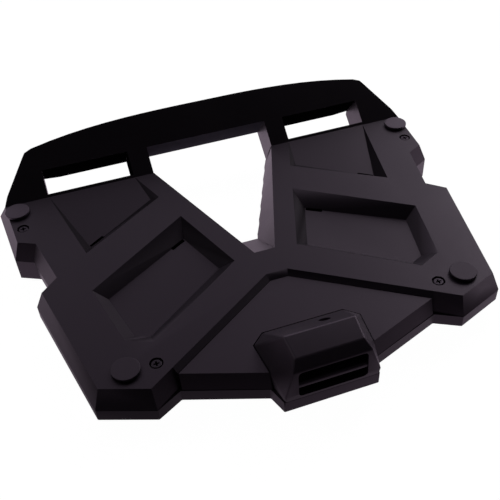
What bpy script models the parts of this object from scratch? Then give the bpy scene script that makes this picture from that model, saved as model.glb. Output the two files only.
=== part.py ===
# Top case mounting plate: a ribbed tray with an upswept front bar, a lid with sunk pockets,
# a fan-shaped rear panel, a latch block, four rubber pads and the screws that hold them.
# Lengths below are in millimetres; X is across, +Y is towards the front bar, +Z is up.
# The origin is under the middle of the plate, on the surface that it stands on.
import bpy
import bmesh
from math import atan2, cos, pi, radians, sin, sqrt, tan
from mathutils import Matrix, Vector

MM = 0.001
GAP = 0.3                 # running gap between two pieces that seat on each other
SEAM = 0.45               # visible joint line round the panel and the latch block
FAR = 400.0               # longer than anything in the plate
BITE = 1.0                # overlap of two solids that are joined into one
OVERSHOOT = 8.0           # how far a cutter runs past the face that it opens
FLAT = 1e-12              # a side with a larger twist than this is split into two triangles

# Levels above the ground
ARM_TOP = 37.0            # top face of the lid
FOLD = 20.4               # where the lid's sloping sides meet the upright skirt
SKIRT_BOTTOM = 8.9        # lower edge of the skirt
PANEL_TOP = 33.6          # top face of the rear panel

# Walls
LID_WALL = 2.6
TRAY_WALL = 3.0
DECK_WALL = 2.8
RIB_WALL = 2.4
WALL_STEP = 0.4           # extra thickness of the opening's wall above the fold
JACKET_SHARE = 0.45       # how far a jacket's floor corners stand out, as a share of the wall
EDGE_RADIUS = 0.9         # rounding of the visible edges
SIDE_RUN = 6.5            # how far the lid's sloping sides stand out at the fold

# Half outline of the lid's top face, from the front to the rear
LID_HALF = ((206.5, 146.5), (198.3, 65.1), (183.2, 57.2), (171.9, 6.5), (186.2, -7.0),
            (161.1, -120.5), (125.3, -134.0), (9.5, -54.1))
SEAM_Y = 121.5            # fold line between the lid and the front bar
SEAM_LEAN = 0.651         # how far that joint runs forward for each millimetre down

# Central opening between the arms, wide at the front
OPENING_TOP = ((61.3, 121.9), (9.2, -25.6))
OPENING_FOOT = ((61.3, 140.2), (9.7, 21.9))
OPENING_STEPS = 6          # facets along each of its twisted walls

# Large pocket in each arm, its rim and its floor
POCKET_RIM = ((54.4, 46.4), (28.1, -28.7), (112.9, -92.1), (133.5, -82.3), (147.0, -19.8))
POCKET_FLOOR = ((58.3, 25.6), (40.7, -22.5), (113.5, -77.0), (124.9, -71.5), (136.0, -24.3))
POCKET_DEPTH = 10.0

# Wedge pocket in front of it, whose floor starts level with the top at the fold line
WEDGE_FRONT = ((163.0, 0.0), (80.2, 0.0))           # x, distance behind the fold line
WEDGE_RIM = ((66.0, 81.6), (143.6, 27.8))
WEDGE_FLOOR = ((73.6, 86.2), (138.6, 45.1))
WEDGE_SLOPE = 0.114

# Narrow slits at the foot of the pocket walls
SLIT_LENGTH = 15.2
SLIT_WIDTH = 2.6
SLIT_TOP = 6.0             # how far below the lid's top the slits end
SLITS = ((65.0, 20.2, -32.7), (131.2, 49.0, -32.5))  # x, y, turn in degrees

# Rear panel and the sill that frames it
SILL_RUN = 4.9
SILL_END = (106.4, -120.8)
PANEL_REAR_SLOPE = 0.372   # rise of the panel's rear edge for each millimetre outwards
PANEL_RUN = 4.7            # how far its sloping rear side stands out at the fold

# Front bar
BAR_TILT = radians(40.1)
BAR_REACH = 62.1           # from the fold line up the slope to the middle of the bar
BAR_SWEEP = 12.0           # how much less it reaches at its shoulders
BAR_SHOULDER = 168.3       # half width at the shoulders
BAR_STEPS = 9              # facets along each half of its front edge
BAR_CORNER = ((175.0, 47.2), (177.6, 43.6))   # x, distance up the slope
BAR_HIP = (199.8, 9.3, 4.5)    # the same for the next corner, and how far it stands out at the fold
BAR_FOOT = (140.2, 8.9)    # rear lower corner of the bar (y, z)
BAR_UNDER = radians(37.9)  # slope of its underside
NOSE_DEPTH = 23.0          # depth of its front edge, square to its face
NOSE_START = 30.8          # distance up the slope where that smaller depth begins
TOE_RUN = 3.0              # how far the slots' far wall may reach out at the fold, below the front edge
SLOT_NEAR = 2.8
SLOT_FAR = 26.8
SIDE_SLOT = (80.8, 163.5)
MIDDLE_SLOT = 61.3
BAR_RIBS = (20.0, 71.0, 101.5, 142.0, 172.0)

# Latch block: corners (x, y, z) from its front foot round to its rear face
BLOCK_FRONT = (33.5, -110.4, PANEL_TOP)
BLOCK_SHOULDER = (43.8, -119.9, PANEL_TOP)
BLOCK_FLANK = (41.3, -148.1, PANEL_TOP)
BLOCK_KNEE = (33.4, -135.3, 48.8)
BLOCK_RIDGE = (28.0, -141.6, 60.1)
BLOCK_BROW = (26.6, -160.6, 55.8)
BLOCK_LIP = (30.6, -167.2, 49.3)
BLOCK_CHEEK = (37.4, -169.0, 26.6)
BLOCK_FOOT = (37.1, -167.8, FOLD)
BLOCK_WALL = 3.4
TONGUE_REAR = -166.3       # rear edge of the tray below the block
SLOT_HALF = 26.6
UPPER_SLOT = (38.2, 47.4)
LOWER_SLOT = (24.2, 33.6)
SLOT_CORNER = 2.2
DIMPLE = (11.1, -125.5, 46.4)   # middle of the shallow recess in the block's front slope
DIMPLE_RADIUS = 4.7
DIMPLE_STRETCH = 1.3            # its length along the slope over its width
DIMPLE_DEPTH = 2.2

# Pads and screws
PAD_PLACES = ((193.5, 107.4), (138.8, -111.9))
PAD_RADIUS = 10.95
PAD_TOP = 40.0
PAD_STEM = 3.4
PAD_BULB = 4.6
PAD_TAIL = 4.0             # length of the stem below the lid's wall
SCREW_PLACES = ((191.4, 82.9), (116.3, -112.6))
COUNTERBORE_RADIUS = 5.3
COUNTERBORE_DEPTH = 3.4
LID_BOSS_RADIUS = 7.6
LID_BOSS_DROP = 7.0        # from the lid's top to the foot of its screw boss
HEAD_RADIUS = 4.5
HEAD_HEIGHT = 2.5
SHANK_RADIUS = 2.0
CROSS_WIDTH = 1.1
CROSS_LENGTH = 5.0
CROSS_DEPTH = 1.5
UNDER_SCREWS = {"panel_screw": (64.0, -108.0), "latch_screw": (22.0, -140.0)}
UNDER_BOSS_RADIUS = 5.5
UNDER_SEAT = 4.0           # depth of the deck left under the heads of the screws from below
COVER_SCREW_LENGTH = 16.0
UNDER_SCREW_LENGTH = 12.0
PILOT_END = 4.6            # solid plastic left above the pilot holes in the rear panel

# Tray
RAIL_X = (84.0, 112.0)     # the two rails that stand on the rack
RAIL_Y = (-78.0, 92.0)
RAIL_SLOT = (9.0, 58.0)    # width and length of the slots for the rack bolts
RAIL_SLOT_Y = (-40.0, 52.0)
RIB_STEP = 36.0
RING_RADIUS = 8.5          # solid plastic round each screw hole
POST_RADIUS = 5.0
SKIRT_RADIUS = 0.5
EAR_INNER = 184.0
REAR_INSET = 0.05          # keeps the ear's rear just inside the skirt's
EAR_FRONT = ((133.5, 0.0), (148.0, 15.0), (152.0, 25.0))   # front side of the ears (y, z)

# Colours
CHARCOAL = (0.026, 0.022, 0.030)
BLACK = (0.018, 0.016, 0.020)
RUBBER = (0.034, 0.031, 0.037)
STEEL = (0.020, 0.020, 0.022)


def half(points):
    """Mirror a half outline, given from front to rear, into a closed one."""
    return [tuple(p) for p in points] + [(-p[0],) + tuple(p[1:]) for p in reversed(points)]


def area(outline):
    total = 0.0
    for a, b in zip(outline, outline[1:] + outline[:1]):
        total += a[0] * b[1] - b[0] * a[1]
    return total / 2


def spread(outline, runs):
    """Move each corner outwards so that both of its edges shift by that corner's run."""
    turn = 1.0 if area(outline) > 0 else -1.0
    moved = []
    for i, point in enumerate(outline):
        here = Vector(point[:2])
        before = (here - Vector(outline[i - 1][:2])).normalized()
        after = (Vector(outline[(i + 1) % len(outline)][:2]) - here).normalized()
        n1 = turn * Vector((before.y, -before.x))
        n2 = turn * Vector((after.y, -after.x))
        run = runs[i] if isinstance(runs, (list, tuple)) else runs
        moved.append(tuple(here + (n1 + n2) * run / (1 + n1.dot(n2))))
    return moved


def finish(bm, name):
    bmesh.ops.recalc_face_normals(bm, faces=bm.faces)
    mesh = bpy.data.meshes.new(name)
    bm.to_mesh(mesh)
    bm.free()
    obj = bpy.data.objects.new(name, mesh)
    bpy.context.scene.collection.objects.link(obj)
    return obj


def loft(name, rings):
    """Closed solid through rings of equally many points, each point (x, y, z)."""
    bm = bmesh.new()
    loops = [[bm.verts.new(Vector(p) * MM) for p in ring] for ring in rings]
    bm.faces.new(loops[0])
    bm.faces.new(loops[-1])
    for low, high in zip(loops, loops[1:]):
        for i in range(len(low)):
            j = (i + 1) % len(low)
            a, b, c, d = low[i], low[j], high[j], high[i]
            twist = abs((b.co - a.co).cross(c.co - a.co).dot(d.co - a.co))
            if twist < FLAT:
                bm.faces.new((a, b, c, d))
            elif (a.co - c.co).length < (b.co - d.co).length:
                bm.faces.new((a, b, c))
                bm.faces.new((a, c, d))
            else:
                bm.faces.new((a, b, d))
                bm.faces.new((b, c, d))
    return finish(bm, name)


def level(outline, z):
    return [(p[0], p[1], z) for p in outline]


def prism(name, outline, z0, z1):
    return loft(name, [level(outline, z0), level(outline, z1)])


def across(name, profile, x0, x1):
    """Closed solid of a profile (y, z) drawn out along X."""
    return loft(name, [[(x0, y, z) for y, z in profile], [(x1, y, z) for y, z in profile]])


def box(name, low, high):
    return prism(name, [(low[0], low[1]), (high[0], low[1]), (high[0], high[1]), (low[0], high[1])],
                 low[2], high[2])


def hull(name, points):
    bm = bmesh.new()
    for p in points:
        bm.verts.new(Vector(p) * MM)
    bmesh.ops.convex_hull(bm, input=bm.verts)
    loose = [v for v in bm.verts if not v.link_faces]
    bmesh.ops.delete(bm, geom=loose, context="VERTS")
    bmesh.ops.dissolve_limit(bm, angle_limit=radians(0.5), verts=bm.verts, edges=bm.edges)
    return finish(bm, name)


def turned(name, profile, steps):
    """Solid of revolution about +Z from a profile (radius, z) that starts and ends on the axis."""
    bm = bmesh.new()
    verts = [bm.verts.new(Vector((r, 0, z)) * MM) for r, z in profile]
    edges = [bm.edges.new(pair) for pair in zip(verts, verts[1:])]
    bmesh.ops.spin(bm, geom=verts + edges, cent=(0, 0, 0), axis=(0, 0, 1), angle=2 * pi,
                   steps=steps, use_merge=True)
    bmesh.ops.remove_doubles(bm, verts=bm.verts, dist=1e-6)
    return finish(bm, name)


def rod(name, x, y, radius, z0, z1, steps=16):
    angles = [2 * pi * i / steps for i in range(steps)]
    return prism(name, [(x + radius * cos(a), y + radius * sin(a)) for a in angles], z0, z1)


def settle(obj):
    """Replace an object's mesh by its evaluated one and drop its modifiers."""
    graph = bpy.context.evaluated_depsgraph_get()
    old = obj.data
    obj.data = bpy.data.meshes.new_from_object(obj.evaluated_get(graph))
    obj.modifiers.clear()
    bpy.data.meshes.remove(old)


def combine(target, tools, operation):
    """One exact Boolean of the target with all the tools at once, which are then removed."""
    group = bpy.data.collections.new("tools")
    for tool in tools:
        group.objects.link(tool)
    step = target.modifiers.new(operation.lower(), "BOOLEAN")
    step.operation = operation
    step.solver = "EXACT"
    step.operand_type = "COLLECTION"
    step.collection = group
    settle(target)
    for tool in tools:
        mesh = tool.data
        bpy.data.objects.remove(tool)
        bpy.data.meshes.remove(mesh)
    bpy.data.collections.remove(group)
    return target


def cut(target, *tools):
    return combine(target, tools, "DIFFERENCE")


def add(target, *tools):
    return combine(target, tools, "UNION")


def keep(target, *tools):
    return combine(target, tools, "INTERSECT")


def weld(obj):
    """Merge the doubled corners that a Boolean can leave, and nothing wider."""
    bm = bmesh.new()
    bm.from_mesh(obj.data)
    bmesh.ops.remove_doubles(bm, verts=bm.verts, dist=1e-6)
    bmesh.ops.dissolve_degenerate(bm, edges=bm.edges, dist=1e-6)
    bm.to_mesh(obj.data)
    bm.free()


def round_edges(obj, radius, segments=2, angle=22.0):
    weld(obj)
    step = obj.modifiers.new("round", "BEVEL")
    step.width = radius * MM
    step.segments = segments
    step.limit_method = "ANGLE"
    step.angle_limit = radians(angle)
    step.miter_outer = "MITER_SHARP"
    step.use_clamp_overlap = True
    settle(obj)


def paint(obj, colour, roughness, metallic=0.0):
    name = obj.name + "_finish"
    material = bpy.data.materials.new(name)
    material.use_nodes = True
    shader = material.node_tree.nodes["Principled BSDF"]
    shader.inputs["Base Color"].default_value = (*colour, 1.0)
    shader.inputs["Roughness"].default_value = roughness
    shader.inputs["Metallic"].default_value = metallic
    obj.data.materials.clear()
    obj.data.materials.append(material)


def smooth(obj):
    obj.data.shade_smooth()
    obj.data.set_sharp_from_angle(angle=radians(35.0))


def both_sides(maker):
    """Make a cutter or a block on the right and its mirror image on the left."""
    made = []
    for side in (1, -1):
        obj = maker()
        if side < 0:
            obj.data.transform(Matrix.Scale(-1, 4, Vector((1, 0, 0))))
            obj.data.flip_normals()
        made.append(obj)
    return made


def up_slope(distance):
    """Point (y, z) on the bar's face at a distance up its slope from the fold line."""
    return SEAM_Y + distance * cos(BAR_TILT), ARM_TOP + distance * sin(BAR_TILT)


def seam_profile(shift):
    """Everything in front of the leaning joint between lid and bar, moved forward by shift."""
    top = (SEAM_Y + shift - SEAM_LEAN * (FAR - ARM_TOP), FAR)
    foot = (SEAM_Y + shift + SEAM_LEAN * (ARM_TOP + FAR), -FAR)
    return [top, (2 * FAR, FAR), (2 * FAR, -FAR), foot]


def lid_outline():
    return half(LID_HALF)


def opening_solid(name, grow):
    """The central opening as a solid that runs past the lid's top and the skirt's bottom."""
    rings = []
    for share in (-0.4, 1.4):
        z = ARM_TOP - (ARM_TOP - SKIRT_BOTTOM) * share
        ring = []
        for i in range(OPENING_STEPS + 1):
            along = i / OPENING_STEPS
            top = Vector(OPENING_TOP[0]).lerp(Vector(OPENING_TOP[1]), along)
            foot = Vector(OPENING_FOOT[0]).lerp(Vector(OPENING_FOOT[1]), along)
            ring.append(tuple(top + (foot - top) * share))
        rings.append(level(spread(half(ring), grow), z))
    return loft(name, rings)


def pocket_solid(name, grow):
    """A large pocket; grown by a wall it is the pocket's jacket."""
    rim = spread(list(POCKET_RIM), grow)
    floor = spread(list(POCKET_FLOOR), grow * JACKET_SHARE)
    return loft(name, [level(floor, ARM_TOP - POCKET_DEPTH - grow), level(rim, ARM_TOP),
                       level(rim, ARM_TOP + OVERSHOOT)])


def wedge_solid(name, grow):
    """A wedge pocket, whose floor falls away from the fold line; grown by a wall it is its jacket."""
    front = [(x, SEAM_Y - back) for x, back in WEDGE_FRONT]
    rim = spread(front + list(WEDGE_RIM), grow)
    floor = spread(front + list(WEDGE_FLOOR), grow * JACKET_SHARE)
    points = []
    for x, y in rim:
        points += [(x, y, ARM_TOP), (x, y, ARM_TOP + OVERSHOOT)]
    for x, y in floor:
        points.append((x, y, ARM_TOP - grow - (SEAM_Y - y) * WEDGE_SLOPE))
    return hull(name, points)


def make_lid():
    outline = lid_outline()
    fold = spread(outline, SIDE_RUN)
    lid = loft("top_cover", [level(fold, FOLD + GAP), level(outline, ARM_TOP)])
    sill = loft("sill", [level(sill_ring(SILL_RUN), FOLD + GAP), level(sill_ring(SILL_RUN), PANEL_TOP),
                         level(sill_ring(0.0), ARM_TOP)])
    jacket = opening_solid("jacket", LID_WALL)
    keep(jacket, box("band", (-FAR, -FAR, SKIRT_BOTTOM), (FAR, FAR, ARM_TOP - BITE)))
    add(lid, sill, jacket)
    cut(lid, opening_solid("opening", 0.0), across("front_trim", seam_profile(-GAP), -FAR, FAR),
        prism("panel_room", panel_room(0.0), -FAR, PANEL_TOP - BITE),
        *both_sides(lambda: pocket_solid("pocket", 0.0)), *both_sides(lambda: wedge_solid("wedge", 0.0)))
    round_edges(lid, EDGE_RADIUS)

    inner = spread(outline, -LID_WALL)
    inner_fold = spread(fold, -LID_WALL)
    void = loft("void", [level(inner_fold, FOLD - 1.5 * OVERSHOOT), level(inner_fold, FOLD),
                         level(inner, ARM_TOP - LID_WALL)])
    bosses = []
    holes = []
    for side in (1, -1):
        for x, y in SCREW_PLACES:
            bosses.append(rod("boss", side * x, y, LID_BOSS_RADIUS, ARM_TOP - LID_BOSS_DROP, ARM_TOP))
            holes.append(rod("counterbore", side * x, y, COUNTERBORE_RADIUS, ARM_TOP - COUNTERBORE_DEPTH,
                             ARM_TOP + OVERSHOOT, 32))
            holes.append(rod("hole", side * x, y, SHANK_RADIUS + GAP, 0, ARM_TOP))
        for x, y in PAD_PLACES:
            holes.append(rod("pad_hole", side * x, y, PAD_STEM + GAP, ARM_TOP - OVERSHOOT,
                             ARM_TOP + OVERSHOOT))
    for x, y, turn in SLITS:
        holes += both_sides(lambda: slit(x, y, turn))
    cut(void, across("void_trim", seam_profile(-GAP - LID_WALL), -FAR, FAR),
        opening_solid("jacket", LID_WALL + WALL_STEP), prism("panel_wall", panel_room(LID_WALL), -FAR, FAR),
        *both_sides(lambda: pocket_solid("pocket", LID_WALL)),
        *both_sides(lambda: wedge_solid("wedge", LID_WALL)), *bosses)
    cut(lid, void, *holes)
    return lid


def slit(x, y, turn):
    obj = box("slit", (-SLIT_LENGTH / 2, -SLIT_WIDTH / 2, FOLD),
              (SLIT_LENGTH / 2, SLIT_WIDTH / 2, ARM_TOP - SLIT_TOP))
    obj.data.transform(Matrix.Translation(Vector((x, y, 0)) * MM) @ Matrix.Rotation(radians(turn), 4, "Z"))
    return obj


def sill_points(run):
    """Front and rear end of the sill's line round the panel, moved towards the panel by a run."""
    front, end = LID_HALF[-1], SILL_END
    moved = spread([front, end, (-end[0], end[1]), (-front[0], front[1])], -run)
    along = (Vector(end) - Vector(front)).normalized()
    inward = Vector((along.y, -along.x))
    return moved[0], tuple(Vector(end) + inward * run)


def sill_ring(run):
    """Closed ring of the sill, whose outer side lies buried in the lid."""
    front, end = sill_points(run)
    rim_front, rim_end = LID_HALF[-1], SILL_END
    along = (Vector(rim_end) - Vector(rim_front)).normalized()
    buried = Vector(rim_end) + Vector((-along.y, along.x)) * LID_WALL
    line = [front, end, tuple(buried), (rim_front[0], rim_front[1] + LID_WALL)]
    return line + [(-x, y) for x, y in reversed(line)]


def panel_room(grow):
    """Plan of the space that the lid leaves for the rear panel, open to the rear."""
    front, end = sill_points(SILL_RUN - grow)
    return [front, end, (end[0], -FAR), (-end[0], -FAR), (-end[0], end[1]), (-front[0], front[1])]


def make_panel():
    front, corner = sill_points(SILL_RUN + SEAM)
    middle = corner[1] - PANEL_REAR_SLOPE * corner[0]
    drop = PANEL_RUN * sqrt(1 + PANEL_REAR_SLOPE ** 2)
    top = [front, corner, (0.0, middle), (-corner[0], corner[1]), (-front[0], front[1])]
    low = [front, (corner[0], corner[1] - drop), (0.0, middle - drop),
           (-corner[0], corner[1] - drop), (-front[0], front[1])]
    panel = loft("rear_panel", [level(low, FOLD + GAP), level(top, PANEL_TOP)])
    cut(panel, prism("block_gap", spread(block_plan(), SEAM), FOLD - OVERSHOOT, PANEL_TOP + OVERSHOOT))
    round_edges(panel, EDGE_RADIUS)
    inner_top = spread(top, -LID_WALL)
    inner_low = spread(low, -LID_WALL)
    void = loft("void", [level(inner_low, FOLD - OVERSHOOT), level(inner_low, FOLD),
                         level(inner_top, PANEL_TOP - LID_WALL)])
    x, y = UNDER_SCREWS["panel_screw"]
    bosses = [rod("boss", side * x, y, UNDER_BOSS_RADIUS, -FAR, FAR) for side in (1, -1)]
    cut(void, prism("block_wall", spread(block_plan(), SEAM + LID_WALL), -FAR, FAR), *bosses)
    pilots = [rod("pilot", side * x, y, SHANK_RADIUS + GAP, FOLD - OVERSHOOT, PANEL_TOP - PILOT_END)
              for side in (1, -1)]
    cut(panel, void, *pilots)
    return panel


def block_plan():
    line = [BLOCK_FRONT[:2], BLOCK_SHOULDER[:2], BLOCK_FLANK[:2],
            (BLOCK_CHEEK[0] + 1.2, BLOCK_CHEEK[1] - BLOCK_WALL)]
    return half(line)


def block_points(inset):
    """Corners of the latch block, each moved towards its inside by the inset."""
    points = []
    foot = FOLD + GAP
    rows = [
        (BLOCK_FRONT, 0, -1, 0), (BLOCK_SHOULDER, -1, 0, 0), (BLOCK_FLANK, -1, 0, 0),
        (BLOCK_KNEE, -1, -1, -1), (BLOCK_RIDGE, -1, -1, -1), (BLOCK_BROW, -1, 1, -1), (BLOCK_LIP, -1, 1, -1),
        (BLOCK_CHEEK, -1, 1, 0), (BLOCK_FOOT, -1, 1, 0),
        (BLOCK_FRONT[:2] + (foot,), 0, -1, 0), (BLOCK_SHOULDER[:2] + (foot,), -1, 0, 0),
        (BLOCK_FLANK[:2] + (foot,), -1, 0, 0), (BLOCK_FOOT[:2] + (foot,), -1, 1, 0),
    ]
    for (x, y, z), ix, iy, iz in rows:
        low = -OVERSHOOT if inset and z <= foot else 0.0
        for side in (1, -1):
            points.append((side * (x + ix * inset), y + iy * inset, z + iz * inset + low))
    return points


def rounded_slot(name, half_width, z0, z1, corner, y0, y1):
    ring = []
    for cx, cz, start in ((half_width - corner, z1 - corner, 0), (-half_width + corner, z1 - corner, 90),
                          (-half_width + corner, z0 + corner, 180), (half_width - corner, z0 + corner, 270)):
        for step in range(4):
            a = radians(start + step * 30)
            ring.append((cx + corner * cos(a), cz + corner * sin(a)))
    return loft(name, [[(x, y0, z) for x, z in ring], [(x, y1, z) for x, z in ring]])


def make_block():
    block = hull("latch_block", block_points(0.0))
    round_edges(block, EDGE_RADIUS + 0.3)
    void = hull("void", block_points(BLOCK_WALL))
    x, y = UNDER_SCREWS["latch_screw"]
    cut(void, *[rod("boss", side * x, y, UNDER_BOSS_RADIUS, -FAR, FAR) for side in (1, -1)])
    rear = BLOCK_CHEEK[1] - BLOCK_WALL
    holes = [rounded_slot("slot", SLOT_HALF, low, high, SLOT_CORNER, rear, rear + 3 * BLOCK_WALL)
             for low, high in (UPPER_SLOT, LOWER_SLOT)]
    holes += [rod("pilot", side * x, y, SHANK_RADIUS + GAP, FOLD - OVERSHOOT, FOLD + UNDER_SCREW_LENGTH)
              for side in (1, -1)]
    dimple = rod("dimple", 0, 0, DIMPLE_RADIUS, -DIMPLE_DEPTH, OVERSHOOT, 20)
    slope = atan2(BLOCK_RIDGE[2] - PANEL_TOP, BLOCK_FRONT[1] - BLOCK_RIDGE[1])
    dimple.data.transform(Matrix.Translation(Vector(DIMPLE) * MM) @ Matrix.Rotation(-slope, 4, "X")
                          @ Matrix.Diagonal((1, DIMPLE_STRETCH, 1, 1)))
    cut(block, void, dimple, *holes)
    return block


def bar_plan(inset):
    """Upper and lower plan of the front bar with the ears, from the left ear's rear round to the right's."""
    line = []
    for i in range(BAR_STEPS + 1):
        share = i / BAR_STEPS
        line.append((BAR_SHOULDER * share, up_slope(BAR_REACH - BAR_SWEEP * share ** 3)[0], TOE_RUN))
    for x, reach in BAR_CORNER:
        line.append((x, up_slope(reach)[0], 0.0))
    line.append((BAR_HIP[0], up_slope(BAR_HIP[1])[0], BAR_HIP[2]))
    front, rear, inner = (Vector(p) for p in LID_HALF[:3])
    seam = front.lerp(rear, (front.y - SEAM_Y) / (front.y - rear.y))
    end = rear.lerp(inner, (rear.x - EAR_INNER) / (rear.x - inner.x))
    run = SIDE_RUN - REAR_INSET
    line += [(seam.x, seam.y, SIDE_RUN), (rear.x, rear.y, run), (end.x, end.y, run)]
    ring = line[::-1] + [(-x, y, run) for x, y, run in line[1:]]
    runs = [run for x, y, run in ring]
    upper = [(x, y) for x, y, run in ring]
    lower = spread(upper, runs)
    if inset:
        return spread(upper, -inset), spread(lower, -inset)
    return upper, lower


def bar_body(name, inset, foot):
    """Everything inside the plan of the bar and the ears, above a level."""
    upper, lower = bar_plan(inset)
    return loft(name, [level(lower, foot), level(lower, FOLD), level(upper, ARM_TOP), level(upper, 120)])


def bar_profile():
    """Section of the solid bar in the YZ plane, between its face and its underside."""
    head = up_slope(BAR_REACH + 12.0)
    rise = (head[0] - BAR_FOOT[0]) * tan(BAR_UNDER)
    return [(SEAM_Y, ARM_TOP), head, (head[0], BAR_FOOT[1] + rise), BAR_FOOT]


def hollow_profile():
    """Section of the bar's hollow, open below."""
    lean = TRAY_WALL * sqrt(1 + SEAM_LEAN ** 2)
    lift = TRAY_WALL / cos(BAR_TILT)
    near = SEAM_Y + lean
    face = ARM_TOP - lift + lean * tan(BAR_TILT)
    far = SEAM_Y + 90.0
    rise = (far - near) * tan(BAR_TILT)
    deep = BAR_FOOT[1] - 60.0
    foot = BAR_FOOT[0] + lean
    return [(near, face), (far, face + rise), (far, deep), (foot, deep), (foot, BAR_FOOT[1])]


def on_slope():
    """Transform from distances up the slope and square to it into place on the bar's face."""
    return Matrix.Translation(Vector((0, SEAM_Y, ARM_TOP)) * MM) @ Matrix.Rotation(BAR_TILT, 4, "X")


def tilted(name, x0, x1, u0, u1):
    """Cutter square to the bar's face, over a stretch of its slope."""
    obj = box(name, (x0, u0, -90), (x1, u1, 60))
    obj.data.transform(on_slope())
    return obj


def tray_outline():
    right = spread(lid_outline(), SIDE_RUN)[:7]
    corner = sill_points(SILL_RUN + SEAM)[1]
    rear = corner[1] - PANEL_RUN * sqrt(1 + PANEL_REAR_SLOPE ** 2)
    join_x = BLOCK_FLANK[0] + 1.4
    line = right + [(corner[0] + 1.2, rear),
                    (join_x, rear - PANEL_REAR_SLOPE * (corner[0] - join_x)),
                    (BLOCK_FOOT[0] + 0.6, TONGUE_REAR - 1.5)]
    return half(line)


def bar_and_ears():
    """The front bar with the deep ears at its ends, still solid."""
    sweep = across("bar", bar_profile(), -FAR, FAR)
    profile = [(0.0, 0.0), *EAR_FRONT, (SEAM_Y + 20.0, FOLD), (0.0, FOLD)]
    ears = [across("ear", profile, EAR_INNER, FAR), across("ear", profile, -FAR, -EAR_INNER)]
    add(sweep, *ears)
    return keep(sweep, bar_body("bar_plan", 0.0, -5))


def bar_void():
    """Hollow of the bar, open below, with the slots' walls and the cross ribs left standing."""
    void = across("void", hollow_profile(), -FAR, FAR)
    keep(void, bar_body("inner_plan", TRAY_WALL, -80))
    walls = both_sides(lambda: tilted("jacket", SIDE_SLOT[0] - TRAY_WALL, SIDE_SLOT[1] + TRAY_WALL,
                                      SLOT_NEAR - TRAY_WALL, SLOT_FAR + TRAY_WALL))
    walls.append(tilted("jacket", -MIDDLE_SLOT - TRAY_WALL, MIDDLE_SLOT + TRAY_WALL, -80,
                        SLOT_FAR + TRAY_WALL))
    for x in BAR_RIBS:
        walls += both_sides(lambda: box("rib", (x - RIB_WALL / 2, -FAR, -90), (x + RIB_WALL / 2, FAR, FAR)))
    cut(void, *walls)
    return void


def deck_void(outline):
    """Hollow under the tray's deck, crossed by ribs and left solid round the screws and rails."""
    void = prism("hollow", spread(outline, -TRAY_WALL), -OVERSHOOT, FOLD - DECK_WALL)
    solid = [across("front_wall", seam_profile(-TRAY_WALL), -FAR, FAR),
             opening_solid("collar", LID_WALL + SEAM + TRAY_WALL)]
    y = RAIL_Y[0] - 2 * RIB_STEP
    while y < SEAM_Y:
        solid.append(box("rib", (-FAR, y, -FAR), (FAR, y + RIB_WALL, FAR)))
        y += RIB_STEP
    x = RIB_STEP / 2
    while x < LID_HALF[1][0]:
        solid += both_sides(lambda: box("rib", (x, -FAR, -FAR), (x + RIB_WALL, FAR, FAR)))
        x += RIB_STEP
    solid += both_sides(lambda: box("rail", (RAIL_X[0], RAIL_Y[0], -FAR), (RAIL_X[1], RAIL_Y[1], FAR)))
    solid += both_sides(lambda: box("ear_wall", (EAR_INNER, 0, -FAR), (EAR_INNER + TRAY_WALL, FAR, FAR)))
    for side in (1, -1):
        for x, y in [*SCREW_PLACES, *UNDER_SCREWS.values()]:
            solid.append(rod("ring", side * x, y, RING_RADIUS, -FAR, FAR))
    cut(void, *solid)
    return void


def make_tray():
    outline = tray_outline()
    tray = prism("base_tray", outline, SKIRT_BOTTOM, FOLD)
    cut(tray, across("front_trim", seam_profile(BITE), -FAR, FAR))
    round_edges(tray, SKIRT_RADIUS, 1)
    cut(tray, opening_solid("opening", LID_WALL + SEAM))
    bar = bar_and_ears()
    cut(bar, tilted("slot", -MIDDLE_SLOT, MIDDLE_SLOT, -80, SLOT_FAR),
        *both_sides(lambda: tilted("slot", SIDE_SLOT[0], SIDE_SLOT[1], SLOT_NEAR, SLOT_FAR)))
    round_edges(bar, EDGE_RADIUS + 0.2)
    rails = both_sides(lambda: box("rail", (RAIL_X[0], RAIL_Y[0], 0), (RAIL_X[1], RAIL_Y[1], FOLD - BITE)))
    for rail in rails:
        round_edges(rail, EDGE_RADIUS, 1)
    posts = [rod("post", side * x, y, POST_RADIUS, FOLD - BITE, ARM_TOP - LID_BOSS_DROP - GAP)
             for side in (1, -1) for x, y in SCREW_PLACES]
    add(tray, bar, *rails, *posts)

    nose_cut = box("nose_cut", (-FAR, NOSE_START, -FAR), (FAR, FAR, -NOSE_DEPTH))
    nose_cut.data.transform(on_slope())
    holes = [nose_cut, bar_void(), deck_void(outline)]
    holes += both_sides(lambda: box("room", (RAIL_X[0] + TRAY_WALL, RAIL_Y[0] + TRAY_WALL, TRAY_WALL),
                                    (RAIL_X[1] - TRAY_WALL, RAIL_Y[1] - TRAY_WALL, FOLD - DECK_WALL)))
    for side in (1, -1):
        for x, y in SCREW_PLACES:
            holes.append(rod("pilot", side * x, y, SHANK_RADIUS + GAP, SKIRT_BOTTOM + TRAY_WALL, ARM_TOP))
        for x, y in UNDER_SCREWS.values():
            holes.append(rod("clear", side * x, y, SHANK_RADIUS + GAP, 0, FOLD + OVERSHOOT))
            holes.append(rod("head_room", side * x, y, COUNTERBORE_RADIUS, 0, FOLD - UNDER_SEAT))
        for y in RAIL_SLOT_Y:
            middle = side * (RAIL_X[0] + RAIL_X[1]) / 2
            holes.append(long_hole(middle, y, RAIL_SLOT[0], RAIL_SLOT[1]))
    cut(tray, *holes)
    return tray


def long_hole(x, y, width, length):
    ring = []
    radius = width / 2
    run = length / 2 - radius
    for start, shift in ((0, run), (180, -run)):
        for step in range(9):
            a = radians(start + step * 22.5)
            ring.append((x + radius * cos(a), y + shift + radius * sin(a)))
    return prism("long_hole", ring, -OVERSHOOT, FOLD + OVERSHOOT)


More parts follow.
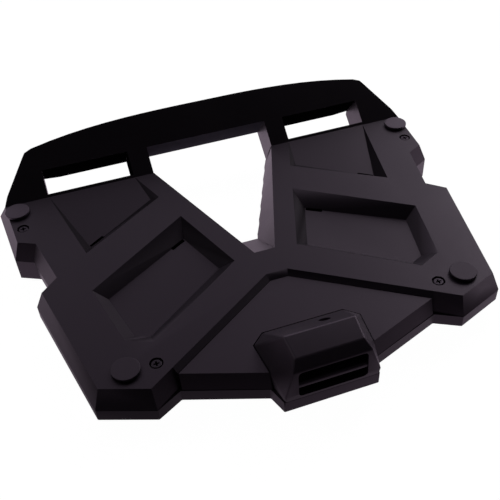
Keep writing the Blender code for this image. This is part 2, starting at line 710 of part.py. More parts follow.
def make_pad(name, x, y):
    """Round pad that stands on the lid, with a stem and a bulb that snap through it."""
    foot = ARM_TOP + GAP
    under = ARM_TOP - LID_WALL - GAP
    pad = turned(name, [
        (0, PAD_TOP), (PAD_RADIUS - 1.5, PAD_TOP), (PAD_RADIUS - 0.5, PAD_TOP - 0.4),
        (PAD_RADIUS, PAD_TOP - 1.3), (PAD_RADIUS, foot), (PAD_STEM, foot), (PAD_STEM, under), (PAD_BULB, under - 0.5),
        (PAD_STEM - 0.8, under - PAD_TAIL), (0, under - PAD_TAIL)], 28)
    pad.data.transform(Matrix.Translation(Vector((x, y, 0)) * MM))
    smooth(pad)
    return pad


def make_screw(name, x, y, seat, length, downwards):
    """Cross-recess screw; its head's underside is at the seat."""
    sign = 1 if downwards else -1
    profile = [(0, HEAD_HEIGHT), (HEAD_RADIUS - 1.4, HEAD_HEIGHT), (HEAD_RADIUS - 0.4, HEAD_HEIGHT - 0.6),
               (HEAD_RADIUS, HEAD_HEIGHT - 1.4), (HEAD_RADIUS, 0), (SHANK_RADIUS, 0),
               (SHANK_RADIUS, 1.5 - length), (0.8, -length), (0, -length)]
    screw = turned(name, [(r, sign * z) for r, z in profile], 16)
    depth = sorted((sign * (HEAD_HEIGHT - CROSS_DEPTH), sign * (HEAD_HEIGHT + OVERSHOOT)))
    arms = []
    for a, b in ((CROSS_LENGTH, CROSS_WIDTH), (CROSS_WIDTH, CROSS_LENGTH)):
        arms.append(box("arm", (-a / 2, -b / 2, depth[0]), (a / 2, b / 2, depth[1])))
    cut(screw, *arms)
    screw.data.transform(Matrix.Translation(Vector((x, y, seat)) * MM))
    smooth(screw)
    return screw


def clear_scene():
    for obj in list(bpy.data.objects):
        bpy.data.objects.remove(obj)


def main():
    clear_scene()
    lid = make_lid()
    paint(lid, CHARCOAL, 0.62)
    panel = make_panel()
    paint(panel, CHARCOAL, 0.60)
    block = make_block()
    paint(block, CHARCOAL, 0.58)
    tray = make_tray()
    paint(tray, BLACK, 0.55)
    for side, hand in ((1, "right"), (-1, "left")):
        for (x, y), end in zip(PAD_PLACES, ("front", "rear")):
            pad = make_pad(f"pad_{end}_{hand}", side * x, y)
            paint(pad, RUBBER, 0.85)
        for (x, y), end in zip(SCREW_PLACES, ("front", "rear")):
            seat = ARM_TOP - COUNTERBORE_DEPTH + GAP
            screw = make_screw(f"cover_screw_{end}_{hand}", side * x, y, seat, COVER_SCREW_LENGTH, True)
            paint(screw, STEEL, 0.38, 0.9)
        for name, (x, y) in UNDER_SCREWS.items():
            seat = FOLD - UNDER_SEAT - GAP
            screw = make_screw(f"{name}_{hand}", side * x, y, seat, UNDER_SCREW_LENGTH, False)
            paint(screw, STEEL, 0.38, 0.9)


main()
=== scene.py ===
# %% [markdown]
# # Top case mounting plate: the looks
#
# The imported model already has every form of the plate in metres: a base tray with an upswept bar, a top
# cover with two arms, a rear panel, a latch block, four rubber feet and the screws. This lesson loads it
# as a fixed frame, smooths a copy of each moulding, models the latch's window and the finer feet and
# screws, gives every surface its finish, and lights the whole like a catalogue picture on white.

# %% Load the frame
import math

import bmesh
import bpy
from mathutils import Matrix, Vector


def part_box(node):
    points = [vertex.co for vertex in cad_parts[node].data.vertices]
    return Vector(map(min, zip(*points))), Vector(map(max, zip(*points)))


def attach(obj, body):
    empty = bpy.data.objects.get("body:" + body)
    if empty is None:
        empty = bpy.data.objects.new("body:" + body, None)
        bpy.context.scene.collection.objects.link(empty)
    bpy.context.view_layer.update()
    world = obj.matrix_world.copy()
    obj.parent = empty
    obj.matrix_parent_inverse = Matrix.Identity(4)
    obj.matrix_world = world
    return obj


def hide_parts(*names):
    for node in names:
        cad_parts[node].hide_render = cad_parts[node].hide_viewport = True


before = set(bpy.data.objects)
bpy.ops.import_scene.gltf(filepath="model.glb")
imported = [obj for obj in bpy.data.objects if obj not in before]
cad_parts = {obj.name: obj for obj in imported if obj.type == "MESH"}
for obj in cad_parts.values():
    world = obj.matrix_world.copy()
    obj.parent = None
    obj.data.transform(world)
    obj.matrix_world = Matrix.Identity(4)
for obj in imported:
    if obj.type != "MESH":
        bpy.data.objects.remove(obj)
scene = bpy.context.scene
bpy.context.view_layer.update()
MM = 0.001                 # Blender measures in metres
print("nodes:", sorted(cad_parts))

# %% [markdown]
# ## The camera
#
# The photograph was taken from above and to the left of the latch block, with a lens a little longer than
# normal. A camera can be set by rotation angles, but here its place and its own three axes were solved
# from points that show both in the photograph and on the plate, so the axes are written straight into a
# matrix.

# %% Camera
CAMERA_PLACE = Vector((-0.14946, -0.46362, 0.44721))
CAMERA_FORWARD = Vector((0.22262, 0.71510, -0.66262)).normalized()
CAMERA_RIGHT = Vector((0.94269, -0.33117, -0.04068)).normalized()
CAMERA_LENS = 52.36        # in mm, like the sensor's width
SENSOR_WIDTH = 36.0
CAMERA_REACH = (0.01, 20.0)

camera_data = bpy.data.cameras.new("camera")
camera_data.lens = CAMERA_LENS
camera_data.sensor_width = SENSOR_WIDTH
camera_data.clip_start, camera_data.clip_end = CAMERA_REACH
camera = bpy.data.objects.new("camera", camera_data)
scene.collection.objects.link(camera)
up = CAMERA_RIGHT.cross(CAMERA_FORWARD)
turn = Matrix((CAMERA_RIGHT, up, -CAMERA_FORWARD)).transposed().to_4x4()
camera.matrix_world = Matrix.Translation(CAMERA_PLACE) @ turn
scene.camera = camera
print("camera looks down by", round(math.degrees(math.asin(-CAMERA_FORWARD.z)), 1), "degrees")

# %% [markdown]
# ## The white ground
#
# Catalogue pictures stand on pure white with hardly any shadow. The ground is one plane, large enough to
# fill the picture. The plate stands on height zero, so the plane lies just under that.

# %% Floor
FLOOR_HALF = 4.0
FLOOR_DROP = 0.2 * MM

bpy.ops.mesh.primitive_plane_add(size=2 * FLOOR_HALF, location=(0, 0, -FLOOR_DROP))
floor = bpy.context.object
floor.name = "floor"
print("floor below the plate's feet by", round(FLOOR_DROP / MM, 1), "mm")

# %% [markdown]
# ## The ground's glow
#
# A plain white material would come out grey under the plate. Here the camera sees mostly a glow, which is
# white, mixed with a small share of plain diffuse white, which still darkens where the plate shades it.
# Reflections see the floor too, since the skirt and the walls of the opening mirror it. For them the glow
# fades from the back right to the front left, because the facets that face the camera are nearly black in
# the photograph, and it is a little mauve, as the greys of the photograph are.

# %% Glow of the floor
FLOOR_WHITE = (0.95, 0.95, 0.95, 1)
SHADOW_SHARE = 0.10        # how much of the floor's tone comes from real light
GLOW = 1.10
MIRROR_GLOW = (0.0, 1.05)  # glow that reflections see, on the camera's side and at the back
MIRROR_WAY = (0.38, 1.0, 0.0)
MIRROR_REACH = (-0.33, 0.16)   # it grows between these distances along that way
MIRROR_TINT = (1.0, 0.82, 1.0, 1)

ground = bpy.data.materials.new("white_ground")
ground.use_nodes = True
nodes, links = ground.node_tree.nodes, ground.node_tree.links
nodes.clear()
out = nodes.new("ShaderNodeOutputMaterial")
mix = nodes.new("ShaderNodeMixShader")
diffuse = nodes.new("ShaderNodeBsdfDiffuse")
glow = nodes.new("ShaderNodeEmission")
paths = nodes.new("ShaderNodeLightPath")
place = nodes.new("ShaderNodeTexCoord")
along = nodes.new("ShaderNodeVectorMath")
fade = nodes.new("ShaderNodeMapRange")
strength = nodes.new("ShaderNodeMix")
tint = nodes.new("ShaderNodeMix")
seen = nodes.new("ShaderNodeMath")
share = nodes.new("ShaderNodeMath")
diffuse.inputs["Color"].default_value = FLOOR_WHITE
along.operation = "DOT_PRODUCT"
along.inputs[1].default_value = MIRROR_WAY
tint.data_type = "RGBA"
tint.inputs["A"].default_value = MIRROR_TINT
tint.inputs["B"].default_value = (1, 1, 1, 1)
fade.interpolation_type = "SMOOTHSTEP"
fade.inputs["From Min"].default_value, fade.inputs["From Max"].default_value = MIRROR_REACH
fade.inputs["To Min"].default_value, fade.inputs["To Max"].default_value = MIRROR_GLOW
strength.inputs["B"].default_value = GLOW
seen.operation = "MAXIMUM"
share.operation = "MULTIPLY"
share.inputs[1].default_value = 1.0 - SHADOW_SHARE
camera_ray, glossy_ray = paths.outputs["Is Camera Ray"], paths.outputs["Is Glossy Ray"]
for output, socket in ((place.outputs["Object"], along.inputs[0]),
                       (along.outputs["Value"], fade.inputs["Value"]),
                       (fade.outputs[0], strength.inputs["A"]),
                       (camera_ray, strength.inputs["Factor"]),
                       (strength.outputs["Result"], glow.inputs["Strength"]),
                       (camera_ray, tint.inputs["Factor"]),
                       (tint.outputs["Result"], glow.inputs["Color"]),
                       (camera_ray, seen.inputs[0]),
                       (glossy_ray, seen.inputs[1]),
                       (seen.outputs[0], share.inputs[0]),
                       (share.outputs[0], mix.inputs["Fac"]),
                       (diffuse.outputs[0], mix.inputs[1]),
                       (glow.outputs[0], mix.inputs[2]),
                       (mix.outputs[0], out.inputs["Surface"])):
    links.new(output, socket)
floor.data.materials.append(ground)
print("reflections see a glow of", MIRROR_GLOW[0], "in front to", MIRROR_GLOW[1], "at the back")

# %% [markdown]
# ## The world
#
# Past the floor's edge the camera should see white too, while the plate should be lit by a dim room with
# a bright wall behind it. The world therefore has two faces: strength 1 for the camera's own rays, and
# for every other ray a dark room whose back is bright, most of all at the right. The tops mirror that
# back wall at a flat angle and come out a soft charcoal; the bar and the facets turned to the camera
# mirror the dark half of the room and stay near black. That contrast is what shows the form of a black
# part.

# %% World
ROOM_DARK = 0.024
ROOM_BACK = 0.50
ROOM_RIGHT = 1.25          # how many times brighter the back is at the right than in the middle
ROOM_LEFT = 0.12           # and what share of it is left at the far left
ROOM_TINT = (1.0, 0.89, 1.05, 1)
BACK_SPAN = (0.12, 0.62)   # the back begins and is full at these parts of the direction's Y
TOP_SPAN = (0.72, 0.95)    # it fades again between these parts of the direction's Z
RIGHT_SPAN = (0.05, 0.65)  # it grows towards the right between these parts of its X
LEFT_SPAN = (-0.42, -0.08) # and fades towards the left between these

world = bpy.data.worlds.new("studio")
scene.world = world
world.use_nodes = True
nodes, links = world.node_tree.nodes, world.node_tree.links
nodes.clear()


def smooth_range(value, start, end, low, high):
    """Maps start..end of a value softly to low..high."""
    node = nodes.new("ShaderNodeMapRange")
    node.interpolation_type = "SMOOTHSTEP"
    for name, number in (("From Min", start), ("From Max", end), ("To Min", low), ("To Max", high)):
        node.inputs[name].default_value = number
    links.new(value, node.inputs["Value"])
    return node.outputs[0]


def product(a, b):
    """Multiplies two values."""
    node = nodes.new("ShaderNodeMath")
    node.operation = "MULTIPLY"
    links.new(a, node.inputs[0])
    links.new(b, node.inputs[1])
    return node.outputs[0]


out = nodes.new("ShaderNodeOutputWorld")
mix = nodes.new("ShaderNodeMixShader")
room = nodes.new("ShaderNodeBackground")
white = nodes.new("ShaderNodeBackground")
paths = nodes.new("ShaderNodeLightPath")
where = nodes.new("ShaderNodeTexCoord")
split = nodes.new("ShaderNodeSeparateXYZ")
total = nodes.new("ShaderNodeMath")
total.operation = "ADD"
total.inputs[1].default_value = ROOM_DARK
white.inputs["Color"].default_value = (1, 1, 1, 1)
room.inputs["Color"].default_value = ROOM_TINT
links.new(where.outputs["Generated"], split.inputs[0])
back = smooth_range(split.outputs["Y"], *BACK_SPAN, 0.0, ROOM_BACK)
right = smooth_range(split.outputs["X"], *RIGHT_SPAN, 1.0, ROOM_RIGHT)
left = smooth_range(split.outputs["X"], *LEFT_SPAN, ROOM_LEFT, 1.0)
top = smooth_range(split.outputs["Z"], *TOP_SPAN, 1.0, 0.0)
links.new(product(product(back, right), product(top, left)), total.inputs[0])
links.new(total.outputs[0], room.inputs["Strength"])
links.new(paths.outputs["Is Camera Ray"], mix.inputs["Fac"])
links.new(room.outputs[0], mix.inputs[1])
links.new(white.outputs[0], mix.inputs[2])
links.new(mix.outputs[0], out.inputs["Surface"])
print("room light from", ROOM_DARK, "in front to", ROOM_BACK, "behind")

# %% [markdown]
# ## The lamps
#
# Two soft boxes do the rest. Both hang behind the plate, so their light comes towards the camera and
# grazes the tops. The right one is the stronger and draws thin light lines along the rounded edges.

# %% Lamps
LAMP_SIZE = 0.8
LAMP_WHITE = (1.0, 0.94, 1.0)


def soft_box(name, place, target, watts):
    """A square area lamp at place that faces target."""
    data = bpy.data.lights.new(name, "AREA")
    data.shape = "SQUARE"
    data.size = LAMP_SIZE
    data.energy = watts
    data.color = LAMP_WHITE
    lamp = bpy.data.objects.new(name, data)
    scene.collection.objects.link(lamp)
    lamp.location = place
    lamp.rotation_euler = (Vector(target) - Vector(place)).to_track_quat("-Z", "Y").to_euler()


soft_box("left_box", place=(-1.2, 0.9, 1.3), target=(0, 0, 0), watts=3.0)
soft_box("right_box", place=(1.4, 0.9, 1.0), target=(0.1, 0, 0), watts=6.0)
scene.view_settings.view_transform = "Standard"

# %% [markdown]
# ## Working on the pieces
#
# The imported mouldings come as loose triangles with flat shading, so even their rounded edges look
# faceted. The helpers below do what one does by hand in the viewport: select one object, step into edit
# mode, pick faces by their place or direction, and apply a modifier. Everything is deselected first,
# because an operator acts on all that is selected.

# %% Helpers for modelling
def only(obj):
    """Makes obj the one selected and active object."""
    bpy.ops.object.select_all(action="DESELECT")
    obj.select_set(True)
    bpy.context.view_layer.objects.active = obj


def pick_faces(obj, wanted):
    """In edit mode, selects just the faces for which wanted(middle, normal) is true."""
    mesh = bmesh.from_edit_mesh(obj.data)
    bpy.ops.mesh.select_mode(type="FACE")
    bpy.ops.mesh.select_all(action="DESELECT")
    for face in mesh.faces:
        face.select_set(wanted(face.calc_center_median(), face.normal))
    mesh.select_flush(True)
    bmesh.update_edit_mesh(obj.data)


def pick_edges(obj, wanted):
    """In edit mode, selects just the edges for which wanted(end, other end) is true."""
    mesh = bmesh.from_edit_mesh(obj.data)
    bpy.ops.mesh.select_mode(type="EDGE")
    bpy.ops.mesh.select_all(action="DESELECT")
    for edge in mesh.edges:
        edge.select_set(wanted(edge.verts[0].co, edge.verts[1].co))
    mesh.select_flush(False)
    bmesh.update_edit_mesh(obj.data)


def apply_boolean(obj, tool, operation):
    """Cuts or joins with a tool, which is then removed."""
    step = obj.modifiers.new("shape", "BOOLEAN")
    step.operation = operation
    step.solver = "EXACT"
    step.object = tool
    only(obj)
    bpy.ops.object.modifier_apply(modifier=step.name)
    bpy.data.objects.remove(tool)


WIDE = 1.5 * MM            # a face wider than this is a wall or a floor, and no strip of a rounding
SHARP_ANGLE = 16.0         # wide faces that differ by more degrees than this meet at a sharp edge


def soften(obj, angle):
    """Smooth shading up to an angle, with the wide faces kept flat by area-weighted normals.

    Where two wide faces meet without a rounding, the edge between them is marked sharp.
    """
    only(obj)
    bpy.ops.object.shade_smooth_by_angle(angle=math.radians(angle))
    bpy.ops.object.mode_set(mode="EDIT")
    mesh = bmesh.from_edit_mesh(obj.data)
    width = {face.index: face.calc_area() / max(edge.calc_length() for edge in face.edges)
             for face in mesh.faces}
    bpy.ops.mesh.select_mode(type="EDGE")
    bpy.ops.mesh.select_all(action="DESELECT")
    for edge in mesh.edges:
        if len(edge.link_faces) == 2 and edge.calc_face_angle() > math.radians(SHARP_ANGLE):
            edge.select_set(all(width[face.index] > WIDE for face in edge.link_faces))
    bmesh.update_edit_mesh(obj.data)
    bpy.ops.mesh.mark_sharp()
    bpy.ops.object.mode_set(mode="OBJECT")
    step = obj.modifiers.new("weighted", "WEIGHTED_NORMAL")
    step.keep_sharp = True
    bpy.ops.object.modifier_apply(modifier=step.name)


def copy_of(obj, name, place):
    """A copy with its own mesh, moved inside the mesh."""
    twin = bpy.data.objects.new(name, obj.data.copy())
    twin.data.transform(Matrix.Translation(place))
    scene.collection.objects.link(twin)
    return twin


print("helpers ready")

# %% [markdown]
# ## Smooth copies of the four mouldings
#
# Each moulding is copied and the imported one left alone. In the copy the triangles' corners are merged and
# flat regions are dissolved into whole faces. Later everything bent by less than a limit is shaded
# smooth. Weighting the normals by area keeps the wide faces flat, so that only the narrow roundings catch
# a line of light.

# %% Smooth copies
MERGE = 0.001 * MM         # corners nearer to each other than this are one
FLAT_ANGLE = 0.6           # faces that differ by fewer degrees than this are one
SMOOTH_ANGLE = 34.0        # faces that differ by fewer degrees than this are shaded as one


def moulding(node):
    """A merged copy of a CAD node, in place and not yet shaded."""
    piece = bpy.data.objects.new(node + "_moulding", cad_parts[node].data.copy())
    scene.collection.objects.link(piece)
    only(piece)
    bpy.ops.mesh.customdata_custom_splitnormals_clear()
    bpy.ops.object.mode_set(mode="EDIT")
    bpy.ops.mesh.select_all(action="SELECT")
    bpy.ops.mesh.remove_doubles(threshold=MERGE)
    bpy.ops.mesh.dissolve_limited(angle_limit=math.radians(FLAT_ANGLE))
    bpy.ops.object.mode_set(mode="OBJECT")
    return piece


mouldings = {node: moulding(node) for node in ("base_tray", "top_cover", "rear_panel", "latch_block")}
print("faces after merging:", {node: len(piece.data.polygons) for node, piece in mouldings.items()})

# %% [markdown]
# ## Straight walls on the central opening
#
# Each long wall of the opening is packed as six facets, which step by less than half a millimetre, and a
# low light shows the steps. In the copies the points of the wall's upper edge are moved sideways onto one
# straight line. The points of each row below it, in the cover and in the tray, lie on either side of a
# line of their own by the same amount, and are moved onto that.

# %% Straight walls
EDGE_FRONT = Vector((61.3 * MM, 121.9 * MM))
EDGE_REAR = Vector((9.2 * MM, -25.6 * MM))
COVER_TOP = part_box("top_cover")[1].z
END_MARGIN = 3.0 * MM
ROW_BEGINS = 20.0 * MM     # the rows begin this far along the edge
LEVEL = 0.05 * MM          # a point this near to a height lies at it
NEAR = 1.0 * MM            # a point farther than this from a line isn't one of its own
ON_LINE = 0.1 * MM         # a point nearer than this to the edge's line stays
# piece, height of the row, where its line starts beside the edge, its slope, how far the points lie off it
WALL_ROWS = (("top_cover", 20.7 * MM, -7.73 * MM, 0.0383, 0.41 * MM),
             ("base_tray", 20.4 * MM, -7.49 * MM, 0.0391, 0.41 * MM),
             ("base_tray", 8.9 * MM, -15.825 * MM, 0.0719, 0.295 * MM))

along_edge = (EDGE_FRONT - EDGE_REAR).normalized()
beside_edge = Vector((along_edge.y, -along_edge.x))
edge_length = (EDGE_FRONT - EDGE_REAR).length


def by_the_edge(vertex):
    """How far a point lies along the opening's edge and beside it, on either side of the plate."""
    offset = Vector((abs(vertex.co.x), vertex.co.y)) - EDGE_REAR
    return offset.dot(along_edge), offset.dot(beside_edge)


def slide(vertex, shift):
    """Moves a point sideways from the edge, on either side of the plate."""
    vertex.co.x += math.copysign(shift * beside_edge.x, vertex.co.x)
    vertex.co.y += shift * beside_edge.y


moved = 0
for vertex in mouldings["top_cover"].data.vertices:
    along, beside = by_the_edge(vertex)
    on_top = abs(vertex.co.z - COVER_TOP) < LEVEL
    if on_top and 0 < along < edge_length - END_MARGIN and -NEAR < beside < -ON_LINE:
        slide(vertex, -beside)
        moved += 1
print("points moved on the opening's upper edges:", moved)

for node, height, start, slope, step in WALL_ROWS:
    moved = 0
    for vertex in mouldings[node].data.vertices:
        along, beside = by_the_edge(vertex)
        off_line = beside - start - slope * along
        in_row = abs(vertex.co.z - height) < LEVEL and abs(off_line) < NEAR
        if in_row and ROW_BEGINS < along < edge_length + END_MARGIN:
            slide(vertex, -step if off_line > step / 2 else step)
            moved += 1
    print("points moved in the row of", node, "at", round(height / MM, 1), "mm:", moved)

# %% [markdown]
# ## The window of the latch block
#
# The rear of the latch block has one wide window with rounded corners, and the latch's lip lies across it
# a few millimetres further in, so it shows as a dim bar between two dark slots. The cutter for the window
# starts as a cube whose four long edges are bevelled. The lip is a second cube with a rounded rear edge.
# Its ends are buried in the block's side walls. Last, the rear rim of the block's foot is drawn down over
# the joint with the tray, so that both run into one face.

# %% Latch window
WINDOW_HALF = 27.0 * MM
WINDOW_Z = (23.6 * MM, 47.6 * MM)
WINDOW_CORNER = 3.6 * MM
WINDOW_Y = (-176 * MM, -161.5 * MM)
LIP_Z = (30.8 * MM, 36.2 * MM)
LIP_Y = (-167.6 * MM, -150.0 * MM)
LIP_HALF = 32.0 * MM
LIP_ROUND = 2.2 * MM
RIM_BEHIND = -148.0 * MM   # the foot's rear rim lies behind this and below the next height
RIM_BELOW = 21.3 * MM
RIM_DRAW = 1.3 * MM


def block_between(name, low, high):
    """A cube stretched between two corners, with its scale applied."""
    bpy.ops.object.select_all(action="DESELECT")
    bpy.ops.mesh.primitive_cube_add(size=1.0)
    cube = bpy.context.object
    cube.name = name
    low, high = Vector(low), Vector(high)
    cube.scale = high - low
    cube.location = (low + high) / 2
    bpy.ops.object.transform_apply(location=True, rotation=True, scale=True)
    return cube


def along_y(a, b):
    """Tells whether an edge runs along Y."""
    return abs((a - b).normalized().y) > 0.99


window = block_between("window_cutter", (-WINDOW_HALF, WINDOW_Y[0], WINDOW_Z[0]),
                       (WINDOW_HALF, WINDOW_Y[1], WINDOW_Z[1]))
bpy.ops.object.mode_set(mode="EDIT")
pick_edges(window, along_y)
bpy.ops.mesh.bevel(offset=WINDOW_CORNER, segments=5)
bpy.ops.object.mode_set(mode="OBJECT")
apply_boolean(mouldings["latch_block"], window, "DIFFERENCE")

lip = block_between("latch_lip", (-LIP_HALF, LIP_Y[0], LIP_Z[0]), (LIP_HALF, LIP_Y[1], LIP_Z[1]))
bpy.ops.object.mode_set(mode="EDIT")
pick_edges(lip, lambda a, b: max(a.y, b.y) < LIP_Y[0] + MM and abs(a.x - b.x) > MM)
bpy.ops.mesh.bevel(offset=LIP_ROUND, segments=6)
bpy.ops.object.mode_set(mode="OBJECT")
drawn = 0
for vertex in mouldings["latch_block"].data.vertices:
    if vertex.co.y < RIM_BEHIND and vertex.co.z < RIM_BELOW:
        vertex.co.z -= RIM_DRAW
        drawn += 1
print("points of the block's foot drawn down:", drawn)
print("window of", round(2 * WINDOW_HALF / MM, 1), "by", round((WINDOW_Z[1] - WINDOW_Z[0]) / MM, 1), "mm")

# %% [markdown]
# ## Clean slits in the pockets
#
# Each pocket of the cover has a narrow slit in its floor. A slim cutter with rounded ends, turned to the
# slit's direction, opens each of the four to its full width. After that the mouldings have their final
# form and are shaded.

# %% Slits and shading
SLITS = ((65.0, 20.2, -32.7), (131.8, 49.9, -32.5))      # x and y in mm, turn in degrees
SLIT_HALF = (7.8 * MM, 1.5 * MM)
SLIT_Z = (24.0 * MM, 32.0 * MM)
SLIT_CORNER = 1.2 * MM

for x, y, angle in SLITS:
    for sign in (1, -1):
        cutter = block_between("slit_cutter", (-SLIT_HALF[0], -SLIT_HALF[1], SLIT_Z[0]),
                               (SLIT_HALF[0], SLIT_HALF[1], SLIT_Z[1]))
        bpy.ops.object.mode_set(mode="EDIT")
        pick_edges(cutter, lambda a, b: abs(a.z - b.z) > MM)
        bpy.ops.mesh.bevel(offset=SLIT_CORNER, segments=4)
        bpy.ops.object.mode_set(mode="OBJECT")
        turn = Matrix.Rotation(sign * math.radians(angle), 4, "Z")
        cutter.data.transform(Matrix.Translation((sign * x * MM, y * MM, 0)) @ turn)
        apply_boolean(mouldings["top_cover"], cutter, "DIFFERENCE")

for piece in mouldings.values():
    soften(piece, SMOOTH_ANGLE)
soften(lip, SMOOTH_ANGLE)
print("faces now:", {node: len(piece.data.polygons) for node, piece in mouldings.items()})

# %% [markdown]
# ## A rubber foot
#
# A foot starts as a short cylinder, the neck that stands on the cover. Its top face is extruded in place
# and widened, which makes the undercut, then raised to a flat drum with a rounded rim. Below, the stem
# that goes through the cover comes from the bottom face by inset and extrude, and its end is rounded. One
# foot is modelled at the origin and copied to the four places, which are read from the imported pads.

# %% Rubber feet
PADS = [f"pad_{end}_{side}" for end in ("front", "rear") for side in ("right", "left")]
STEM_FOOT, FOOT_TOP = (corner.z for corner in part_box(PADS[0]))
FOOT_GAP = 0.3 * MM
FOOT_RADIUS = 10.95 * MM
NECK_RADIUS = 9.5 * MM
NECK_HEIGHT = 0.7 * MM
RIM_RADIUS = 0.55 * MM
CROWN_INSET = 0.8 * MM
STEM_RADIUS = 3.4 * MM
STEM_ROUND = 0.8 * MM
CLOSE = 0.01 * MM          # a corner this near to a height lies at it
FOOT_SMOOTH = 40.0         # as SMOOTH_ANGLE, for a foot


def on_axis(node, height):
    """The point at a height on the upright axis of a round CAD node."""
    low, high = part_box(node)
    return Vector(((low.x + high.x) / 2, (low.y + high.y) / 2, height))


bpy.ops.object.select_all(action="DESELECT")
bpy.ops.mesh.primitive_cylinder_add(vertices=72, radius=NECK_RADIUS, depth=NECK_HEIGHT,
                                    location=(0, 0, COVER_TOP + FOOT_GAP + NECK_HEIGHT / 2))
foot = bpy.context.object
foot.name = "foot_pattern"
bpy.ops.object.transform_apply(location=True, rotation=True, scale=True)
bpy.ops.object.mode_set(mode="EDIT")
pick_faces(foot, lambda middle, normal: normal.z > 0.9)
bpy.ops.mesh.extrude_region_move(TRANSFORM_OT_translate={"value": (0, 0, 0)})
wide = FOOT_RADIUS / NECK_RADIUS
bpy.ops.transform.resize(value=(wide, wide, 1), center_override=(0, 0, 0))
drum = FOOT_TOP - COVER_TOP - FOOT_GAP - NECK_HEIGHT
bpy.ops.mesh.extrude_region_move(TRANSFORM_OT_translate={"value": (0, 0, drum)})
pick_edges(foot, lambda a, b: min(a.z, b.z) > FOOT_TOP - CLOSE)
bpy.ops.mesh.bevel(offset=RIM_RADIUS, segments=4)
pick_faces(foot, lambda middle, normal: normal.z > 0.99 and middle.z > FOOT_TOP - CLOSE)
bpy.ops.mesh.inset(thickness=CROWN_INSET)
pick_faces(foot, lambda middle, normal: normal.z < -0.9 and middle.z < COVER_TOP + 2 * FOOT_GAP)
bpy.ops.mesh.inset(thickness=NECK_RADIUS - STEM_RADIUS)
stem = STEM_FOOT - COVER_TOP - FOOT_GAP
bpy.ops.mesh.extrude_region_move(TRANSFORM_OT_translate={"value": (0, 0, stem)})
bpy.ops.mesh.bevel(offset=STEM_ROUND, segments=3)
bpy.ops.object.mode_set(mode="OBJECT")
soften(foot, FOOT_SMOOTH)

feet = {}
for node in PADS:
    feet[node] = copy_of(foot, node.replace("pad", "rubber_foot"), on_axis(node, 0))
bpy.data.objects.remove(foot)
print("feet:", sorted(piece.name for piece in feet.values()))

# %% [markdown]
# ## A cross-recess screw
#
# The screw's head is a cylinder with a rounded rim. The recess is cut by two slim wedges, each a cube
# whose lower end is narrowed, crossed at a right angle. The shank is drawn down from the head's underside
# and ends in a short taper. It is modelled with its seat at the origin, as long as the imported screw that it
# stands for.

# %% A screw
HEAD_RADIUS = 4.3 * MM
HEAD_HEIGHT = 2.5 * MM
HEAD_ROUND = 0.9 * MM
SHANK_RADIUS = 2.0 * MM
TIP_LENGTH = 1.5 * MM
TIP_SHARE = 0.4            # the tip's end is this share of the shank's width
CROSS_HALF = 2.7 * MM
CROSS_WIDTH = 1.6 * MM
CROSS_DEPTH = 1.9 * MM
CROSS_SHARE = 0.62         # the recess's foot is this share of its mouth
SCREW_SMOOTH = 32.0        # as SMOOTH_ANGLE, for a screw


def recess_wedge(turned):
    """A cutter for two opposite arms of the recess, narrower at its foot."""
    half, wide = (CROSS_WIDTH / 2, CROSS_HALF) if turned else (CROSS_HALF, CROSS_WIDTH / 2)
    wedge = block_between("recess", (-half, -wide, HEAD_HEIGHT - CROSS_DEPTH),
                          (half, wide, HEAD_HEIGHT + MM))
    bpy.ops.object.mode_set(mode="EDIT")
    pick_faces(wedge, lambda middle, normal: normal.z < -0.9)
    bpy.ops.transform.resize(value=(CROSS_SHARE, CROSS_SHARE, 1), center_override=(0, 0, 0))
    bpy.ops.object.mode_set(mode="OBJECT")
    return wedge


def screw_pattern(node):
    """A screw as long as a CAD node's, upright with its seat at the origin."""
    low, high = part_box(node)
    length = high.z - low.z - HEAD_HEIGHT
    bpy.ops.object.select_all(action="DESELECT")
    bpy.ops.mesh.primitive_cylinder_add(vertices=48, radius=HEAD_RADIUS, depth=HEAD_HEIGHT,
                                        location=(0, 0, HEAD_HEIGHT / 2))
    screw = bpy.context.object
    screw.name = "screw_pattern"
    bpy.ops.object.transform_apply(location=True, rotation=True, scale=True)
    bpy.ops.object.mode_set(mode="EDIT")
    pick_edges(screw, lambda a, b: min(a.z, b.z) > HEAD_HEIGHT - CLOSE)
    bpy.ops.mesh.bevel(offset=HEAD_ROUND, segments=5)
    pick_faces(screw, lambda middle, normal: normal.z < -0.9)
    bpy.ops.mesh.inset(thickness=HEAD_RADIUS - SHANK_RADIUS)
    bpy.ops.mesh.extrude_region_move(TRANSFORM_OT_translate={"value": (0, 0, TIP_LENGTH - length)})
    bpy.ops.mesh.extrude_region_move(TRANSFORM_OT_translate={"value": (0, 0, -TIP_LENGTH)})
    bpy.ops.transform.resize(value=(TIP_SHARE, TIP_SHARE, 1), center_override=(0, 0, -length))
    bpy.ops.object.mode_set(mode="OBJECT")
    apply_boolean(screw, recess_wedge(False), "DIFFERENCE")
    apply_boolean(screw, recess_wedge(True), "DIFFERENCE")
    soften(screw, SCREW_SMOOTH)
    return screw


print("head of", round(2 * HEAD_RADIUS / MM, 1), "mm and recess of", round(2 * CROSS_HALF / MM, 1), "mm")

# %% [markdown]
# ## The eight screws
#
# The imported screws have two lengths, so the pattern is made twice. The longer one is copied upright to the
# four screws of the cover. The shorter one is turned over first, for the four that hold the panel and the
# block from below.

# %% All screws
COVER_SCREWS = [f"cover_screw_{end}_{side}" for end in ("front", "rear") for side in ("right", "left")]
UNDER_SCREWS = [f"{kind}_screw_{side}" for kind in ("panel", "latch") for side in ("right", "left")]

